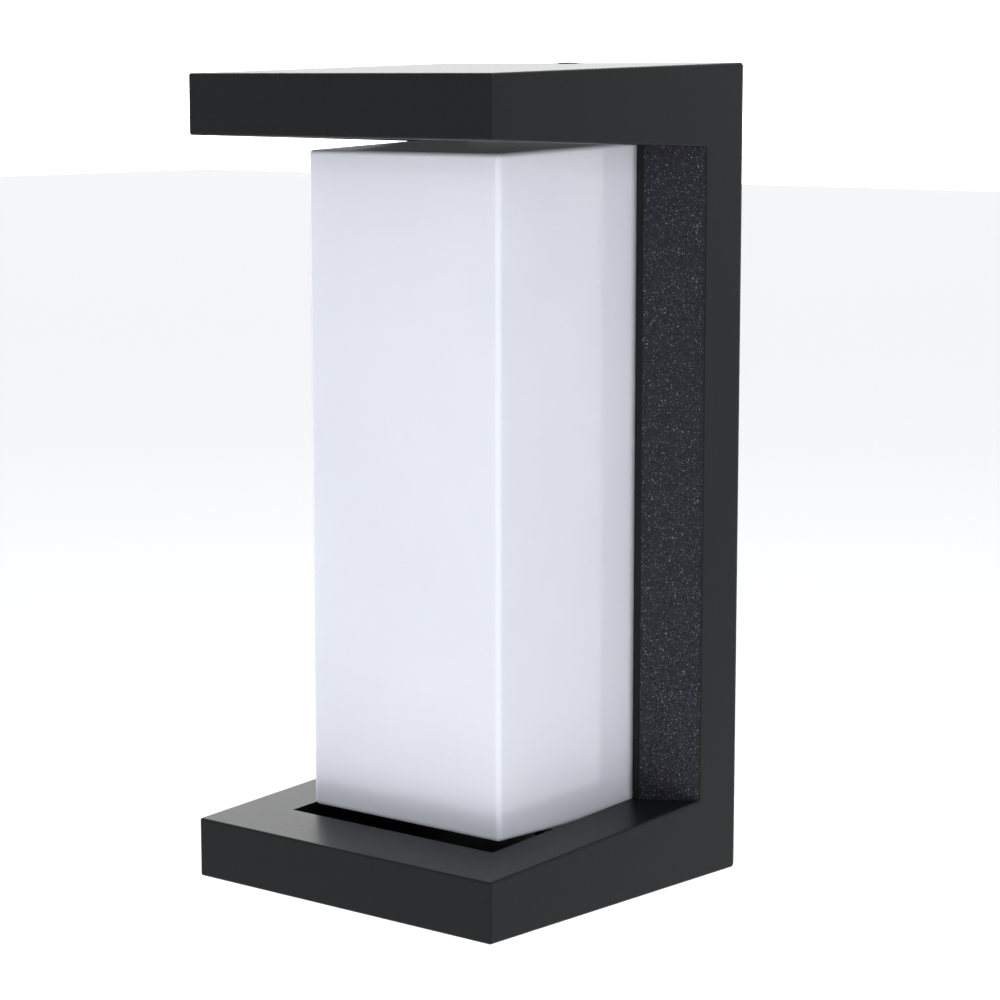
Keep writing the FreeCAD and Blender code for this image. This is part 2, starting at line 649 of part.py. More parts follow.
def make_earth_point():
    """Washer, ring terminal and screw that earth the tray."""
    washer = new_body("earth_washer")
    add(washer, "XZ_Plane", WASHER_REAR, PAN_FLOOR, ("circle", "earth_across", "earth_level", "earth_washer_radius"),
        ("circle", "earth_across", "earth_level", "lock_shank + 0.15"))
    ring = new_body("earth_ring")
    add(ring, "XZ_Plane", RING_REAR, WASHER_REAR, ("circle", "earth_across", "earth_level", "ring_radius"),
        ("circle", "earth_across", "earth_level", "lock_shank + 0.15"))
    add(ring, "XY_Plane", "earth_level + 4.2", "earth_level + 12",
        ("circle", "earth_across", "-" + BARREL_DEPTH, "barrel_radius"))
    cut(ring, "XY_Plane", "earth_level + 5.2", "earth_level + 12",
        ("circle", "earth_across", "-" + BARREL_DEPTH, "mains_lead + 0.05"))
    screw = new_body("earth_screw")
    crown = "(%s - 2.2)" % RING_REAR
    turn(screw, "YZ_Plane", ("0", "earth_level", "earth_across"), "H_Axis", [
        ("-" + crown, "0"), ("-" + crown, "earth_head - 0.8"), ("-(%s + 0.7)" % crown, "earth_head"),
        ("-" + RING_REAR, "earth_head"),
        ("-" + RING_REAR, "lock_shank"), ("-(%s + 5.4)" % RING_REAR, "lock_shank"),
        ("-(%s + 6)" % RING_REAR, "lock_shank - 0.6"), ("-(%s + 6)" % RING_REAR, "0")])
    cut(screw, "XZ_Plane", crown + " - 0.1", crown + " + 1.1",
        ("polygon", plus_shape("earth_across", "earth_level", 1.7, 0.35)))


def make_back_plate():
    """Steel cover over the wiring, and the foam under it."""
    seal = new_body("back_gasket")
    seal_half, seal_high = "(%s + back_seal_margin)" % TRAY_HALF, "(%s + back_seal_margin)" % TRAY_HIGH
    add(seal, "XZ_Plane", BACK_FRONT, TRAY_REAR, ("box", "0", "lamp_shift", seal_half, seal_high),
        ("box", "0", "lamp_shift", seal_half + " - back_seal_wide", seal_high + " - back_seal_wide"))
    plate = new_body("back_plate")
    half, high = "(%s - back_margin)" % INNER_HALF, "(height / 2 - wall - back_margin)"
    notch = "(%s - strip_thick - nut_thick - back_notch_gap)" % LUG_TOP
    add(plate, "XZ_Plane", BACK_REAR, BACK_FRONT, ("polygon", [
        ("-" + half, "-" + high), ("-back_notch", "-" + high), ("-back_notch", "-" + notch),
        ("back_notch", "-" + notch), ("back_notch", "-" + high), (half, "-" + high), (half, high),
        ("back_notch", high), ("back_notch", notch), ("-back_notch", notch), ("-back_notch", high),
        ("-" + half, high)]))
    round_edges(plate, "2", lambda way, middle: abs(way.y) > 0.99)
    cut(plate, "XZ_Plane", BACK_REAR, BACK_FRONT, ("circle", "0", "cable_level", "cable_hole"))
    for body, low, high in ((seal, BACK_FRONT, TRAY_REAR), (plate, BACK_REAR, BACK_FRONT)):
        hole = cut(body, "XZ_Plane", low, high,
                   ("circle", "-" + BACK_SCREW_ACROSS, "(lamp_shift - %s)" % BACK_SCREW_RISE, "small_clear"))
        repeat(body, [hole], *GRIDS["back"])


def make_bracket():
    """Steel strip folded into a lug at each end, slotted for the wall screws."""
    body = new_body("wall_bracket")
    inner = "(%s - strip_thick)" % LUG_TOP
    across(body, "Pad", "strip_half", [
        ("0", "-" + LUG_TOP), ("0", LUG_TOP), ("-lug_length", LUG_TOP), ("-lug_length", inner),
        ("-strip_thick", inner), ("-strip_thick", "-" + inner), ("-lug_length", "-" + inner),
        ("-lug_length", "-" + LUG_TOP)])
    thick, reach = value("strip_thick"), value("lug_length")
    round_edges(body, "bend_radius + strip_thick", lambda way, middle: abs(way.x) > 0.99 and middle.y > -0.1)
    round_edges(body, "bend_radius", lambda way, middle: abs(way.x) > 0.99 and abs(middle.y + thick) < 0.1)
    round_edges(body, "4", lambda way, middle: abs(way.z) > 0.99 and middle.y < 0.1 - reach)
    low, reach = "(-wall_slot_rise / 2)", "(wall_slot_length / 2 - wall_slot_radius)"
    slot = [cut(body, "XZ_Plane", "0", "strip_thick", ("box", "0", low, "wall_slot_radius", reach))]
    for end in (" - ", " + "):
        slot.append(cut(body, "XZ_Plane", "0", "strip_thick",
                        ("circle", "0", low + end + reach, "wall_slot_radius")))
    repeat(body, slot, "0.1", 1, "wall_slot_rise", 2)
    cut(body, "XZ_Plane", "0", "strip_thick", ("circle", "0", "cable_level", "bracket_cable_hole"))
    hole = cut(body, "XY_Plane", inner, LUG_TOP, ("circle", "0", "-lock_depth", "nut_pilot"))
    mirror(body, [hole], "XY_Plane")
    return body


def make_locks(prefix, sign):
    """One locking screw with its sealing washer, above (1) or below (-1)."""
    def level(text):
        return "%d * (%s)" % (sign, text)

    screw = new_body(prefix + "_lock_screw")
    turn(screw, "XZ_Plane", ("0", "0", "lock_depth"), "V_Axis", [
        ("0", level(LOCK_SEAT + " + lock_head_high")),
        ("lock_head - 1.0", level(LOCK_SEAT + " + lock_head_high")),
        ("lock_head", level(LOCK_SEAT + " + lock_head_high - 1.0")), ("lock_head", level(LOCK_SEAT)),
        ("lock_shank", level(LOCK_SEAT)), ("lock_shank", level(LOCK_SEAT + " - lock_length + 0.7")),
        ("lock_shank - 0.7", level(LOCK_SEAT + " - lock_length")), ("0", level(LOCK_SEAT + " - lock_length"))])
    crown = level(LOCK_SEAT + " + lock_head_high")
    low, high = (crown + " - 1.5", crown + " + 0.1") if sign > 0 else (crown + " - 0.1", crown + " + 1.5")
    cut(screw, "XY_Plane", low, high, ("polygon", plus_shape("0", "-lock_depth", 2.0, 0.4)))
    washer = new_body(prefix + "_screw_washer")
    low, high = level(LOCK_SINK + " + 0.05"), level(LOCK_SINK + " + 0.05 + washer_thick")
    turn(washer, "XZ_Plane", ("0", "0", "lock_depth"), "V_Axis", [
        ("lock_shank + thread_play", low), ("washer_radius", low),
        ("washer_radius", high), ("lock_shank + thread_play", high)])


def make_lug_nuts():
    """Clinch nuts pressed into the lugs from inside."""
    body = new_body("lug_nuts")
    lug = "(%s - strip_thick)" % LUG_TOP
    nut = turn(body, "XZ_Plane", ("0", "0", "lock_depth"), "V_Axis", [
        ("lock_shank + thread_play", lug + " + strip_thick - 0.3"), ("nut_pilot", lug + " + strip_thick - 0.3"),
        ("nut_pilot", lug), ("nut_radius", lug), ("nut_radius", lug + " - nut_thick"),
        ("lock_shank + thread_play", lug + " - nut_thick")])
    mirror(body, [nut], "XY_Plane")
    return body


def route(points, radius):
    """A wire of straight runs joined by tangent arcs, through (x, depth, z) points."""
    path = [V(x, -depth, z) for x, depth, z in points]
    edges = []
    last = path[0]
    for before, corner, after in zip(path, path[1:], path[2:]):
        back, ahead = (before - corner).normalize(), (after - corner).normalize()
        half = back.getAngle(ahead) / 2
        start, end = corner + back * (radius / math.tan(half)), corner + ahead * (radius / math.tan(half))
        middle = corner + (back + ahead).normalize() * (radius / math.sin(half) - radius)
        edges.append(Part.LineSegment(last, start).toShape())
        edges.append(Part.Arc(start, middle, end).toShape())
        last = end
    edges.append(Part.LineSegment(last, path[-1]).toShape())
    return Part.Wire(edges)


def make_lead(label, points, thickness, bend):
    """An insulated wire: a round section swept along its route."""
    wire = route(points, bend)
    start = wire.OrderedEdges[0]
    ring = Part.Circle(V(*[points[0][0], -points[0][1], points[0][2]]), start.tangentAt(0), thickness)
    lead = doc.addObject("Part::Feature", label)
    lead.Label = label
    lead.Shape = wire.makePipeShell([Part.Wire([ring.toShape()])], True, False)
    lead.Placement = FreeCAD.Placement()
    print("%s: length %.1f mm, bends %.1f mm" % (label, wire.Length, bend))
    return lead


def make_leads():
    """The five wires, each from inside one terminal to inside the next."""
    driver_leads = value(DRIVER_LEADS)
    driver_low, driver_top = value("driver_level - driver_high"), value("driver_level + driver_high")
    pole, pitch = value("pole_depth"), value("pole_pitch")
    clamp = value("block_level") + 3
    half_way = (value("block_level + block_high") + driver_low) / 2
    for label, x, driver_x in (("live_lead", -pitch, -8.0), ("neutral_lead", 0.0, 0.0)):
        make_lead(label, [(x, pole, clamp), (x, pole, half_way - 4), (driver_x, driver_leads, half_way + 4),
                          (driver_x, driver_leads, driver_low + 6)], value("mains_lead"), 5.0)
    barrel, earth_x, earth_z = value(BARREL_DEPTH), value("earth_across"), value("earth_level")
    make_lead("earth_lead", [(pitch, pole, clamp), (pitch, pole, half_way - 2), (earth_x, pole, half_way - 2),
                             (earth_x, pole, earth_z + 25), (earth_x, barrel, earth_z + 16),
                             (earth_x, barrel, earth_z + 6)], value("mains_lead"), 4.0)
    entry_x, entry_z = value("entry_across"), value(ENTRY_LEVEL)
    front, into = value(CONNECTOR_DEPTH), value(CONNECTOR_ACROSS) + 1
    for label, x, side in (("led_positive_lead", 2.0, 1), ("led_negative_lead", 6.0, -1)):
        lane_x, lane_z = entry_x + 1.3 * side, entry_z + 1.4 * side
        end_z = value(CONNECTOR_LEVEL) - 1.3 * side
        make_lead(label, [(x, driver_leads, driver_top - 5), (x, driver_leads, lane_z),
                          (lane_x, driver_leads, lane_z), (lane_x, front, lane_z), (lane_x, front, end_z),
                          (into, front, end_z)], value("led_lead"), 2.2)


def make_small_screws():
    low = "(lamp_shift - %s)"
    small_screws("tray_screws", "-" + BOSS_ACROSS, low % BOSS_RISE, TRAY_REAR, "10", 1, GRIDS["tray"])
    small_screws("back_plate_screws", "-" + BACK_SCREW_ACROSS, low % BACK_SCREW_RISE, BACK_REAR, "6", 1,
                 GRIDS["back"])
    small_screws("board_screws", "(-board_screw_span / 2)", low % BOARD_SCREW_RISE, BOARD_FACE, "5", -1,
                 GRIDS["board"])
    small_screws("driver_screws", "(-driver_screw_span / 2)", "driver_level",
                 "(%s - ear_thick)" % PAN_FLOOR, "5", 1, GRIDS["driver"])
    small_screws("terminal_screws", "(-block_screw_span / 2)", "block_level",
                 "(%s - block_ear_thick)" % PAN_FLOOR, "5", 1, GRIDS["block"])


def build():
    make_frame()
    make_wall_gasket()
    make_diffuser()
    make_diffuser_gasket()
    make_tray()
    make_board()
    make_chips()
    make_connector()
    make_grommet("lead_grommet", "entry_across", ENTRY_LEVEL, "tray_front", PAN_FLOOR, "entry_hole",
                 "entry_bore", "1.2")
    make_driver_case()
    make_driver_lid()
    make_terminal_block()
    make_terminal_clamps()
    make_clamp_screws()
    make_earth_point()
    make_back_plate()
    make_grommet("cable_grommet", "0", "cable_level", BACK_FRONT, BACK_REAR, "cable_hole", "cable_bore", "2.5")
    make_bracket()
    make_lug_nuts()
    make_locks("top", 1)
    make_locks("bottom", -1)
    make_small_screws()
    make_leads()
    doc.recompute()


def pieces():
    return [item for item in doc.Objects if item.TypeId in ("PartDesign::Body", "Part::Feature")]


def check():
    """Stop if any feature is in error or any piece has no sound shape."""
    for item in doc.Objects:
        if "Invalid" in item.State or "Error" in item.State:
            raise RuntimeError("%s is %s" % (item.Name, item.State))
    for piece in pieces():
        if piece.Shape.isNull() or not piece.Shape.isValid() or not piece.Shape.Solids:
            raise RuntimeError("%s has no sound solid" % piece.Label)


def export():
    os.makedirs("parts", exist_ok=True)
    for piece in pieces():
        piece.Shape.exportStep(os.path.join("parts", piece.Label + ".step"))
        box = piece.Shape.BoundBox
        print("%-22s solids %2d volume %10.1f  x %.1f..%.1f y %.1f..%.1f z %.1f..%.1f" % (
            piece.Label, len(piece.Shape.Solids), piece.Shape.Volume,
            box.XMin, box.XMax, box.YMin, box.YMax, box.ZMin, box.ZMax))


build()
check()
export()
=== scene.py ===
# %% [markdown]
# # An outdoor wall lantern
#
# The lantern is a cast aluminium C: two hollow arms and a back bar, all with a black textured
# powder coat. A tall opal box stands between the arms and spreads the light of a board of
# light-emitting diodes. Behind the board are the driver, the terminals and the wall bracket.
#
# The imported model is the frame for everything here. Its pieces have their real sizes, so this file
# only gives them their finishes, and makes new meshes where the real piece has more shape than the
# packed one: screws with threads and recesses, and the little lamp packages on their board.

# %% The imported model
import math

import bmesh
import bpy
from mathutils import Matrix, Vector


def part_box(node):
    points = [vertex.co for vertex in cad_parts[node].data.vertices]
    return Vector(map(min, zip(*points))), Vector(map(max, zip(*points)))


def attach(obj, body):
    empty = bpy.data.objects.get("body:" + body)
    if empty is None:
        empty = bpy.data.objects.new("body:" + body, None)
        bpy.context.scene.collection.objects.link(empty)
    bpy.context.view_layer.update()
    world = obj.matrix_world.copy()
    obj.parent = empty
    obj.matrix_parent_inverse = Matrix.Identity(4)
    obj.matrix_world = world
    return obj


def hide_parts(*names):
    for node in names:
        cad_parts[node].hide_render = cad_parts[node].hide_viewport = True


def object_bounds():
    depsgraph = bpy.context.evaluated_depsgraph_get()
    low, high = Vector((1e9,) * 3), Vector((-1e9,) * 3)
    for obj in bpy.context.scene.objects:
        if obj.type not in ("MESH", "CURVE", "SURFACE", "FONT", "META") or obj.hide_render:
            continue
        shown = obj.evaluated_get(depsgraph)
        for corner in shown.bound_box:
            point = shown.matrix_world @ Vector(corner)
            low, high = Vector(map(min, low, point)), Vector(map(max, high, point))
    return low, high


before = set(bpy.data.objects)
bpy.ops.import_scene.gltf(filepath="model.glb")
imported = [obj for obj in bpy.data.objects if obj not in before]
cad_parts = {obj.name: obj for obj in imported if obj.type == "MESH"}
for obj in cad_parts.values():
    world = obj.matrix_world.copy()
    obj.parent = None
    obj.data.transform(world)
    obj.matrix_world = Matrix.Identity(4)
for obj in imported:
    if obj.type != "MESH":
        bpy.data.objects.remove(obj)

cad_low, cad_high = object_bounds()
cad_size = cad_high - cad_low
print("The lantern is %.0f x %.0f x %.0f mm" % tuple(side * 1000 for side in cad_size))

MM = 0.001

# %% [markdown]
# ## The camera
#
# A long lens from well back keeps the upright edges nearly parallel. The camera stands to the
# right of the lantern and a little above its middle. It could be aimed with a Track To constraint,
# but three directions worked out from two angles say the same thing in the open, and nothing is
# left live on the object.

# %% Camera
frame_low, frame_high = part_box("frame_body")
frame_middle = (frame_low + frame_high) / 2
turn_round = math.radians(38.66)
look_down = math.radians(8.47)
HEIGHTS_AWAY = 3.472
SLIDE_RIGHT = 11.1 * MM
SLIDE_DOWN = 7.7 * MM
away = HEIGHTS_AWAY * (frame_high.z - frame_low.z)

backward = Vector((math.sin(turn_round) * math.cos(look_down),
                   -math.cos(turn_round) * math.cos(look_down), math.sin(look_down)))
rightward = Vector((math.cos(turn_round), math.sin(turn_round), 0))
upward = backward.cross(rightward)

camera = bpy.data.objects.new("camera", bpy.data.cameras.new("camera"))
camera.data.sensor_width = 36
camera.data.lens = 102.6
camera.data.clip_start = 0.05
camera.location = frame_middle + backward * away + rightward * SLIDE_RIGHT - upward * SLIDE_DOWN
camera.rotation_mode = "QUATERNION"
camera.rotation_quaternion = Matrix((rightward, upward, backward)).transposed().to_quaternion()
bpy.context.scene.collection.objects.link(camera)
bpy.context.scene.camera = camera
print("The camera is %.2f m from the lantern" % away)

# %% [markdown]
# ## One small helper for nodes
#
# Every finish below is a net of shader nodes. One function adds a node, sets its own settings,
# and fills its inputs with numbers or with wires from other nodes.

# %% Nodes and colours
def linear(hex_colour):
    """An sRGB colour such as #20242A as the linear values that a shader works in."""
    values = [int(hex_colour[i:i + 2], 16) / 255 for i in (1, 3, 5)]
    return tuple(v / 12.92 if v <= 0.04045 else ((v + 0.055) / 1.055) ** 2.4 for v in values) + (1.0,)


def add_node(tree, kind, inputs=None, **settings):
    """Add one node, with its settings, and its inputs as values or as other nodes' outputs."""
    node = tree.nodes.new(kind)
    for name, value in settings.items():
        setattr(node, name, value)
    for socket, value in (inputs or {}).items():
        if isinstance(value, bpy.types.NodeSocket):
            tree.links.new(value, node.inputs[socket])
        else:
            node.inputs[socket].default_value = value
    return node


def per_grain(millimetres):
    """The texture scale that makes one grain of this size."""
    return 1 / (millimetres * MM)


# %% [markdown]
# ## The studio
#
# Gloss shows only what surrounds it, so the room is part of the finish. A soft, near-white room
# gives the black coat its pale sheen at a low angle. The room is brighter behind the lantern than
# in front of it, which is what makes the flat of the upper arm shine while the front faces stay
# dark. The floor is plain and lies well below, because this lantern hangs on a wall. The lamps to
# the right and below light the coat without a mirror image of themselves in it.

# %% Room, floor and lamps
scene = bpy.context.scene
scene.view_settings.view_transform = "Standard"

room = bpy.data.worlds.new("room")
room.use_nodes = True
scene.world = room
tree = room.node_tree
tree.nodes.clear()
toward = add_node(tree, "ShaderNodeTexCoord").outputs["Generated"]
BRIGHT_WAY = (-0.64, 0.76, -0.2)
behind = add_node(tree, "ShaderNodeVectorMath", {0: toward, 1: BRIGHT_WAY}, operation="DOT_PRODUCT")
ramp = add_node(tree, "ShaderNodeValToRGB", {"Fac": behind.outputs["Value"]})
ramp.color_ramp.elements[0].position = 0.0
ramp.color_ramp.elements[0].color = (0.50, 0.52, 0.55, 1)
ramp.color_ramp.elements[1].position = 0.90
ramp.color_ramp.elements[1].color = (2.90, 2.90, 2.90, 1)
side = ramp.color_ramp.elements.new(0.25)
side.color = (1.12, 1.13, 1.14, 1)
glow = add_node(tree, "ShaderNodeBackground", {"Color": ramp.outputs["Color"], "Strength": 1.0})
add_node(tree, "ShaderNodeOutputWorld", {"Surface": glow.outputs["Background"]})

FLOOR_DROP = 0.30
FLOOR_HALF = 12.0
floor_level = cad_low.z - FLOOR_DROP
sheet = bpy.data.meshes.new("floor")
around = ((-1, -1), (1, -1), (1, 1), (-1, 1))
floor_corners = [(x * FLOOR_HALF, y * FLOOR_HALF, floor_level) for x, y in around]
sheet.from_pydata(floor_corners, [], [(0, 1, 2, 3)])
floor = bpy.data.objects.new("floor", sheet)
scene.collection.objects.link(floor)
floor_paint = bpy.data.materials.new("matt_white_paper")
floor_paint.use_nodes = True
floor_shader = floor_paint.node_tree.nodes["Principled BSDF"]
floor_shader.inputs["Base Color"].default_value = linear("#F7F7F7")
floor_shader.inputs["Roughness"].default_value = 0.9
sheet.materials.append(floor_paint)


def softbox(name, place, aim, size, watts):
    """A square lamp that faces a point."""
    lamp = bpy.data.lights.new(name, "AREA")
    lamp.shape = "SQUARE"
    lamp.size = size
    lamp.energy = watts
    holder = bpy.data.objects.new(name, lamp)
    holder.location = place
    holder.rotation_mode = "QUATERNION"
    holder.rotation_quaternion = (Vector(aim) - Vector(place)).to_track_quat("-Z", "Y")
    scene.collection.objects.link(holder)
    return holder


softbox("front_softbox", (-0.2, -1.8, 0.3), frame_middle, 1.2, 4)
right_softbox = softbox("right_softbox", (1.7, 0.1, 0.0), frame_middle, 1.2, 7)
right_softbox.visible_glossy = False
softbox("high_softbox", (-0.3, 0.6, 1.9), frame_middle, 1.6, 18)
low_place = (0.25, -0.75, floor_level + 0.04)
low_aim = (0.0, 0.0, frame_high.z * 0.8)
low_softbox = softbox("low_softbox", low_place, low_aim, 0.4, 4.2)
low_softbox.visible_glossy = False
softbox("spark_lamp", (1.0, -1.3, 0.55), frame_middle, 0.12, 2.5)
print("The floor is %.0f mm below the lantern" % (FLOOR_DROP * 1000))


# %% [markdown]
# ## Finishes
#
# A material here starts as one Principled shader. `new_finish` makes it and hands back its node
# tree, its shader and a wire that carries the piece's own coordinates in metres, so that a grain
# given in millimetres has the same size on every piece.

# %% Starting a finish
def new_finish(name, colour, roughness, **shader_values):
    """A new material, its tree, its shader and the piece's own coordinates in metres."""
    finish = bpy.data.materials.new(name)
    finish.use_nodes = True
    net = finish.node_tree
    shader = net.nodes["Principled BSDF"]
    shader.inputs["Base Color"].default_value = linear(colour)
    shader.inputs["Roughness"].default_value = roughness
    for words, value in shader_values.items():
        shader.inputs[words.replace("_", " ").title().replace("Ior", "IOR")].default_value = value
    place = add_node(net, "ShaderNodeTexCoord").outputs["Object"]
    return finish, net, shader, place


def drift_colour(net, shader, pattern, dark, pale):
    """Let the colour drift between two tones with a pattern."""
    mix = add_node(net, "ShaderNodeMix", {"Factor": pattern, "A": linear(dark), "B": linear(pale)},
                   data_type="RGBA")
    net.links.new(mix.outputs["Result"], shader.inputs["Base Color"])


def drift_roughness(net, shader, pattern, smooth, rough):
    """Let the roughness drift between two values with a pattern."""
    spread = add_node(net, "ShaderNodeMapRange", {"Value": pattern, "To Min": smooth, "To Max": rough})
    net.links.new(spread.outputs["Result"], shader.inputs["Roughness"])


def raise_surface(net, shader, pattern, depth, under=None):
    """Bump by a depth in millimetres, on top of another bump if one is given."""
    wires = {"Height": pattern, "Distance": depth * MM, "Strength": 1.0}
    if under is not None:
        wires["Normal"] = under
    bump = add_node(net, "ShaderNodeBump", wires)
    net.links.new(bump.outputs["Normal"], shader.inputs["Normal"])
    return bump.outputs["Normal"]


def finish_node(finish, *names):
    """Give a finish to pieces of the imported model."""
    for name in names:
        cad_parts[name].data.materials.clear()
        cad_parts[name].data.materials.append(finish)
    print("%s: %s" % (finish.name, ", ".join(names)))


# %% [markdown]
# ### Powder coat
#
# The casting is sprayed with a black polyester powder and baked. It melts into a fine, closed
# skin: near black from the front, and a pale blurred mirror along a flat seen at a low angle. A
# gentle orange peel of about 1.5 mm and a dust of about 0.35 mm cover the whole casting. The
# slanted faces beside the lamp also carry sand, because the powder cloud eddies and gathers there.
# They are also painted a paler, bluish grey, a painted sheen of cool light on the same black coat.
# Real powder grains are under 0.1 mm and would not show, so the sand is drawn as heaps of about
# 0.9 mm. Pale spots of about 0.5 mm on those faces are painted glints, where light would catch
# the grains. A mask finds those faces by the way they face and by their place: near the wall and
# between the arms.

# %% Powder coat for the casting
powder, net, shader, place = new_finish("textured_black_powder_coat", "#151717", 0.36,
                                        specular_ior_level=0.12)
peel = add_node(net, "ShaderNodeTexNoise", {"Vector": place, "Scale": per_grain(1.5), "Detail": 2.0})
sand = add_node(net, "ShaderNodeTexNoise", {"Vector": place, "Scale": per_grain(0.9), "Detail": 3.0,
                                            "Roughness": 0.6})
# The 0.5 mm noise only places the painted glints on the slanted faces.
glint_noise = add_node(net, "ShaderNodeTexNoise", {"Vector": place, "Scale": per_grain(0.5), "Detail": 1.0})
dust = add_node(net, "ShaderNodeTexNoise", {"Vector": place, "Scale": per_grain(0.35), "Detail": 2.0})


facing = add_node(net, "ShaderNodeSeparateXYZ",
                  {"Vector": add_node(net, "ShaderNodeNewGeometry").outputs["True Normal"]})
sideways = add_node(net, "ShaderNodeMath", {0: facing.outputs["X"]}, operation="ABSOLUTE")
past_front = add_node(net, "ShaderNodeMapRange",
                      {"Value": sideways.outputs[0], "From Min": 0.35, "From Max": 0.42})
before_side = add_node(net, "ShaderNodeMapRange",
                       {"Value": sideways.outputs[0], "From Min": 0.70, "From Max": 0.60})
leaning = add_node(net, "ShaderNodeMath", {0: past_front.outputs[0], 1: before_side.outputs[0]},
                   operation="MULTIPLY")
spot = add_node(net, "ShaderNodeSeparateXYZ", {"Vector": place})
near_wall = add_node(net, "ShaderNodeMath", {0: spot.outputs["Y"], 1: -20 * MM, 2: 15 * MM},
                     operation="COMPARE")
between_arms = add_node(net, "ShaderNodeMath", {0: spot.outputs["Z"], 1: 0.0, 2: 114 * MM},
                        operation="COMPARE")
beside_lamp = add_node(net, "ShaderNodeMath", {0: near_wall.outputs[0], 1: between_arms.outputs[0]},
                       operation="MULTIPLY")
slanted = add_node(net, "ShaderNodeMath", {0: leaning.outputs[0], 1: beside_lamp.outputs[0]},
                   operation="MULTIPLY")

heaped = add_node(net, "ShaderNodeMapRange",
                  {"Value": sand.outputs["Fac"], "From Min": 0.54, "From Max": 0.72})
grit = add_node(net, "ShaderNodeMath", {0: heaped.outputs[0], 1: slanted.outputs[0]},
                operation="MULTIPLY")
skin = raise_surface(net, shader, peel.outputs["Fac"], 0.012)
skin = raise_surface(net, shader, grit.outputs[0], 0.35, under=skin)
raise_surface(net, shader, dust.outputs["Fac"], 0.012, under=skin)

coat = add_node(net, "ShaderNodeMix", {"Factor": peel.outputs["Fac"], "A": linear("#121414"),
                                       "B": linear("#181A1A")}, data_type="RGBA")
# The slanted faces get a paler, bluish grey: a painted sheen on the same black coat.
coat_with_painted_sheen = add_node(net, "ShaderNodeMix", {"Factor": slanted.outputs[0], "A": coat.outputs["Result"],
                                         "B": linear("#232329")}, data_type="RGBA")
# Pale spots on the slanted faces are painted glints: light painted onto the grains.
glint_spots = add_node(net, "ShaderNodeMapRange",
                 {"Value": glint_noise.outputs["Fac"], "From Min": 0.63, "From Max": 0.75})
painted_glints = add_node(net, "ShaderNodeMath", {0: glint_spots.outputs[0], 1: slanted.outputs[0]},
                operation="MULTIPLY")
coat_with_painted_glints = add_node(net, "ShaderNodeMix", {"Factor": painted_glints.outputs[0], "A": coat_with_painted_sheen.outputs["Result"],
                                         "B": linear("#70707A")}, data_type="RGBA")
net.links.new(coat_with_painted_glints.outputs["Result"], shader.inputs["Base Color"])

blur = add_node(net, "ShaderNodeMapRange",
                {"Value": sand.outputs["Fac"], "To Min": 0.30, "To Max": 0.42})
wetter = add_node(net, "ShaderNodeMath", {0: slanted.outputs[0], 1: 0.12}, operation="MULTIPLY")
glossed = add_node(net, "ShaderNodeMath", {0: blur.outputs[0], 1: wetter.outputs[0]},
                   operation="SUBTRACT")
net.links.new(glossed.outputs[0], shader.inputs["Roughness"])
finish_node(powder, "frame_body")

# %% [markdown]
# ### Opal polycarbonate
#
# The diffuser is moulded in milky polycarbonate. It is glossy, very smooth, and slightly cool.
# Light goes a little way in before it comes back, which softens every edge, so the shader
# scatters below the surface by about three millimetres. The real walls also let daylight through
# from the other side, and a faint even painted glow stands for that: the diffuser emits a little
# light of its own, though no lamp is lit inside it.

# %% Opal finish for the diffuser
# The emission strength of 0.04 is a painted glow: the diffuser gives off a faint light of its own.
opal, net, shader, place = new_finish("opal_polycarbonate", "#CBCDD6", 0.09, ior=1.585,
                                      subsurface_weight=1.0, subsurface_scale=3.0 * MM,
                                      emission_strength=0.04)
shader.inputs["Subsurface Radius"].default_value = (1.0, 1.0, 1.1)
flow = add_node(net, "ShaderNodeTexNoise", {"Vector": place, "Scale": per_grain(45), "Detail": 1.0})
drift_colour(net, shader, flow.outputs["Fac"], "#C9CBD4", "#CFD1D8")
raise_surface(net, shader, flow.outputs["Fac"], 0.05)
finish_node(opal, "diffuser")

# %% [markdown]
# ### Seals and rubber
#
# Three soft stuffs keep the rain out: black closed-cell foam on the wall side, clear silicone
# round the lamp, and black rubber where wires pass through metal. Foam shows its cut cells,
# silicone lets light in, and rubber has a dull moulded grain.

# %% Foam, silicone and rubber
foam, net, shader, place = new_finish("black_closed_cell_foam", "#131313", 0.95, specular_ior_level=0.3)
cells = add_node(net, "ShaderNodeTexVoronoi", {"Vector": place, "Scale": per_grain(0.7)})
drift_colour(net, shader, cells.outputs["Distance"], "#0B0B0B", "#1C1C1C")
raise_surface(net, shader, cells.outputs["Distance"], 0.25)
finish_node(foam, "wall_gasket", "back_gasket")

silicone, net, shader, place = new_finish("clear_silicone", "#C4C6C0", 0.42, ior=1.41,
                                          subsurface_weight=0.6, subsurface_scale=2.0 * MM)
cloud = add_node(net, "ShaderNodeTexNoise", {"Vector": place, "Scale": per_grain(3), "Detail": 2.0})
drift_colour(net, shader, cloud.outputs["Fac"], "#B9BBB4", "#CDCFC9")
raise_surface(net, shader, cloud.outputs["Fac"], 0.03)
finish_node(silicone, "diffuser_gasket")

rubber, net, shader, place = new_finish("moulded_black_rubber", "#171717", 0.62, ior=1.52)
grain = add_node(net, "ShaderNodeTexNoise", {"Vector": place, "Scale": per_grain(0.3), "Detail": 3.0})
drift_colour(net, shader, grain.outputs["Fac"], "#121212", "#1E1E1E")
drift_roughness(net, shader, grain.outputs["Fac"], 0.5, 0.72)
raise_surface(net, shader, grain.outputs["Fac"], 0.03)
finish_node(rubber, "lead_grommet", "cable_grommet")

# %% [markdown]
# ### Sheet metals
#
# Three sheets, three looks. The tray is plain rolled aluminium, with long faint lines along the
# roll. The back plate is hot-dip galvanised, with the frost flowers that zinc grows as it cools.
# The bracket is zinc plated after it is bent, so it is even and slightly blue.

